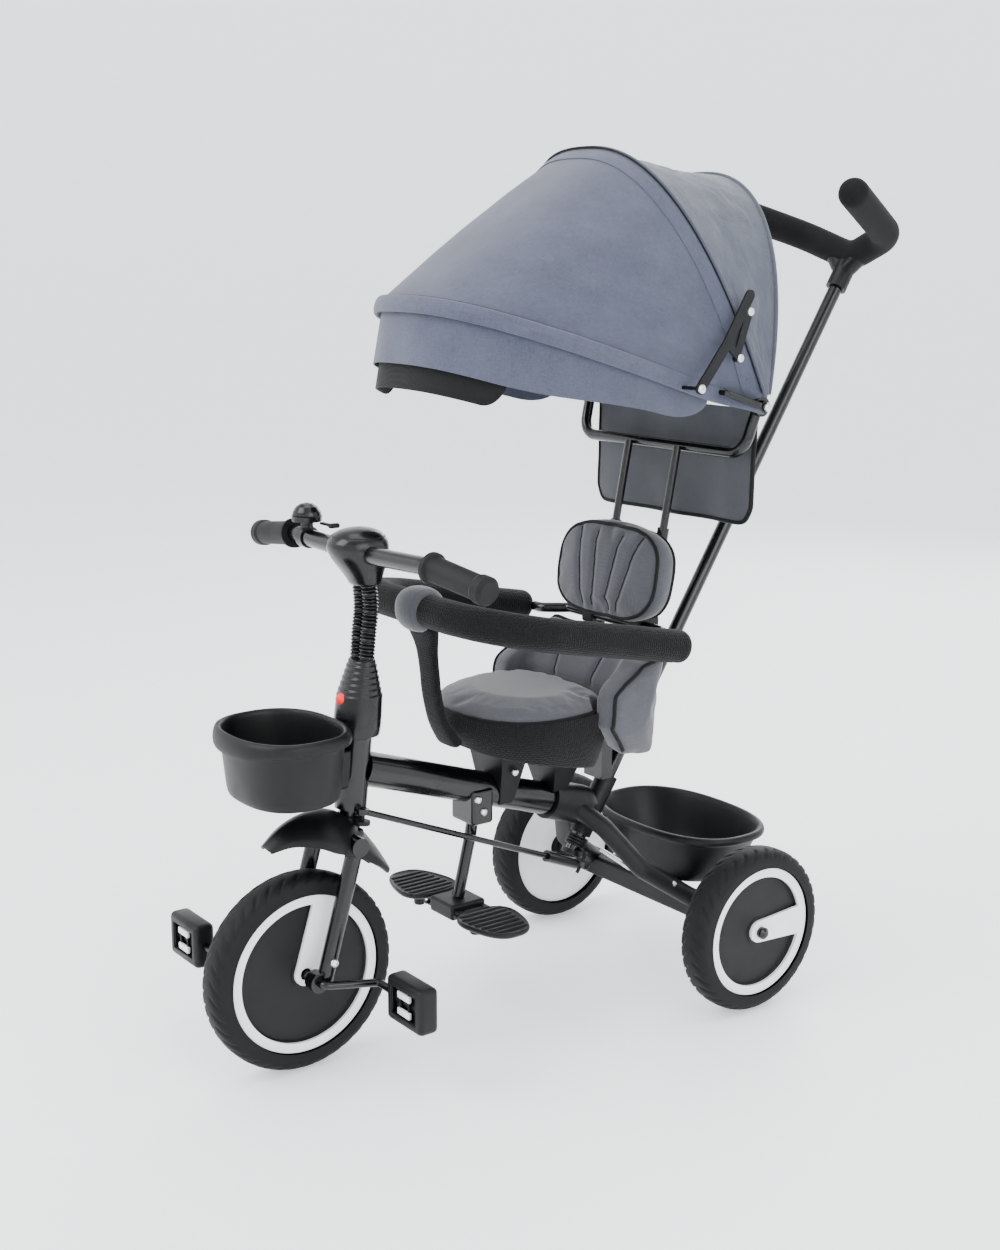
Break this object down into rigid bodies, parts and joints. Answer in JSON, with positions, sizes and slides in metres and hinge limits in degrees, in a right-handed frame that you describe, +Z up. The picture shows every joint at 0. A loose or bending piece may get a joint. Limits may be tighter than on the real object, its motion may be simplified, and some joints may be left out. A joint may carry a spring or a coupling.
{
  "type": "children's tricycle",
  "caption": "Children's tricycle with parent push handle, folding sun canopy, padded seat, safety guard, flip-up footrest and two baskets.",
  "frame": {"origin": "on the floor under the middle of the whole tricycle", "axes": "+X forward, +Y to the rider's left, +Z up"},
  "size_m": [1.0902, 0.5156, 1.1204],
  "materials": {
    "black_paint": "gloss black powder coat",
    "black_plastic": "fine moulded texture",
    "gloss_plastic": "polished moulding",
    "red_plastic": "polished moulding",
    "white_plastic": "polished moulding",
    "tyre": "moulded EVA tyre",
    "grip_rubber": "ribbed soft rubber",
    "steel": "zinc plated",
    "foam": "closed-cell foam",
    "black_mesh": "black spacer mesh",
    "grey_fabric": "grey melange cloth",
    "canopy_fabric": "blue-grey melange cloth"
  },
  "bodies": {
    "frame": {"main_tube": "black_paint", "rear_yoke": "black_plastic", "rear_axle": "steel", "seat_brackets": "black_plastic", "backrest_posts": "black_paint", "seat_pan": "black_mesh", "back_cushion": "grey_fabric", "seat_cushion": "grey_fabric", "headrest_pad": "grey_fabric", "front_basket": "black_plastic", "front_basket_bracket": "black_plastic", "rear_basket": "black_plastic", "guard_crossbar": "black_paint", "post_clamps": "black_plastic", "footrest_post": "black_paint", "footrest_hub": "black_plastic"},
    "steering": {"fork": "black_paint", "front_fender": "black_plastic", "stem_cover": "black_plastic", "stem_bellows": "black_plastic", "handlebar_tube": "black_paint", "handlebar_cover": "gloss_plastic", "handlebar_grips": "grip_rubber", "bell_housing": "gloss_plastic", "steering_arm": "black_paint"},
    "front_wheel": {"front_tyre": "tyre", "front_wheel_disc": "black_plastic", "front_wheel_trim": "white_plastic", "crank_shaft": "black_paint"},
    "pedal_left": {"pedal_left": "black_plastic"},
    "pedal_right": {"pedal_right": "black_plastic"},
    "rear_wheel_left": {"rear_tyre_left": "tyre", "rear_wheel_disc_left": "black_plastic", "rear_wheel_trim_left": "white_plastic"},
    "rear_wheel_right": {"rear_tyre_right": "tyre", "rear_wheel_disc_right": "black_plastic", "rear_wheel_trim_right": "white_plastic"},
    "push_handle": {"push_tube": "black_paint", "push_crank": "black_plastic", "push_hub": "black_plastic", "push_grip": "foam"},
    "tie_rod": {"tie_rod": "black_paint"},
    "canopy_carriage": {"canopy_hanger": "black_paint", "canopy_bows": "black_paint", "canopy_rear_cloth": "canopy_fabric", "rear_curtain": "grey_fabric", "canopy_rivets": "steel"},
    "canopy_front": {"front_bow": "black_paint", "canopy_front_cloth": "canopy_fabric", "canopy_valance": "canopy_fabric", "canopy_visor": "black_mesh"},
    "stay_blades": {"stay_blades": "black_plastic"},
    "stay_links": {"stay_links": "black_plastic"},
    "guard": {"guard_foam": "black_mesh", "pommel_pad": "grey_fabric", "crotch_strap": "black_mesh"},
    "footplate_left": {"footplate_left": "black_plastic"},
    "footplate_right": {"footplate_right": "black_plastic"},
    "bell_lever": {"bell_lever": "black_plastic"},
    "release_button": {"release_button": "red_plastic"}
  },
  "joints": [
    {"name": "steering", "type": "hinge", "parent": "frame", "child": "steering", "pos_m": [0.3406, 0, 0.316], "axis": [-0.108, 0, 0.9942], "range_deg": [-28, 28]},
    {"name": "front_wheel_spin", "type": "hinge", "parent": "steering", "child": "front_wheel", "pos_m": [0.419, 0, 0.127], "axis": [0, 1, 0], "continuous": true},
    {"name": "pedal_left_spin", "type": "hinge", "parent": "front_wheel", "child": "pedal_left", "pos_m": [0.34952, 0.149, 0.11847], "axis": [0, 1, 0], "continuous": true},
    {"name": "pedal_right_spin", "type": "hinge", "parent": "front_wheel", "child": "pedal_right", "pos_m": [0.48848, -0.149, 0.13553], "axis": [0, 1, 0], "continuous": true},
    {"name": "rear_wheel_left_spin", "type": "hinge", "parent": "frame", "child": "rear_wheel_left", "pos_m": [-0.156, 0.2085, 0.112], "axis": [0, 1, 0], "continuous": true},
    {"name": "rear_wheel_right_spin", "type": "hinge", "parent": "frame", "child": "rear_wheel_right", "pos_m": [-0.156, -0.2085, 0.112], "axis": [0, 1, 0], "continuous": true},
    {"name": "push_twist", "type": "hinge", "parent": "frame", "child": "push_handle", "pos_m": [-0.066, 0, 0.268], "axis": [-0.5349, 0, 0.8449], "range_deg": [-30, 30]},
    {"name": "tie_rod_swing", "type": "hinge", "parent": "steering", "child": "tie_rod", "pos_m": [0.34008, 0.028, 0.3208], "axis": [-0.108, 0, 0.9942], "range_deg": [-30, 30]},
    {"name": "canopy_height", "type": "slide", "parent": "frame", "child": "canopy_carriage", "axis": [-0.1904, 0, 0.9817], "range_m": [-0.04, 0.06]},
    {"name": "canopy_fold", "type": "hinge", "parent": "canopy_carriage", "child": "canopy_front", "pos_m": [-0.176, 0, 0.804], "axis": [0, -1, 0], "range_deg": [0, 40], "deforming": ["canopy_front_cloth"]},
    {"name": "stay_blade_swing", "type": "hinge", "parent": "canopy_front", "child": "stay_blades", "pos_m": [-0.049, 0, 0.833], "axis": [0, -1, 0], "range_deg": [0, 20]},
    {"name": "stay_link_swing", "type": "hinge", "parent": "canopy_carriage", "child": "stay_links", "pos_m": [-0.134, 0, 0.924], "axis": [0, -1, 0], "range_deg": [-50, 0]},
    {"name": "guard_lift", "type": "hinge", "parent": "frame", "child": "guard", "pos_m": [-0.06, 0, 0.506], "axis": [0, -1, 0], "range_deg": [0, 40]},
    {"name": "footplate_left_flip", "type": "hinge", "parent": "frame", "child": "footplate_left", "pos_m": [0.176, 0.033, 0.155], "axis": [1, 0, 0], "range_deg": [0, 80]},
    {"name": "footplate_right_flip", "type": "hinge", "parent": "frame", "child": "footplate_right", "pos_m": [0.176, -0.033, 0.155], "axis": [-1, 0, 0], "range_deg": [0, 80]},
    {"name": "bell_lever_press", "type": "hinge", "parent": "steering", "child": "bell_lever", "pos_m": [0.308, -0.11, 0.6615], "axis": [0, 0, 1], "range_deg": [0, 25], "stiffness_Nm_per_rad": 0.03},
    {"name": "button_press", "type": "slide", "parent": "steering", "child": "release_button", "axis": [-0.995, 0, -0.0995], "range_m": [0, 0.0025], "stiffness_N_per_m": 300}
  ],
  "couplings": [
    {"joint": "push_twist", "follows": "steering", "ratio": 1},
    {"joint": "tie_rod_swing", "follows": "steering", "ratio": -1},
    {"joint": "stay_blade_swing", "follows": "canopy_fold", "ratio": 0.45},
    {"joint": "stay_link_swing", "follows": "canopy_fold", "ratio": -1.18}
  ]
}
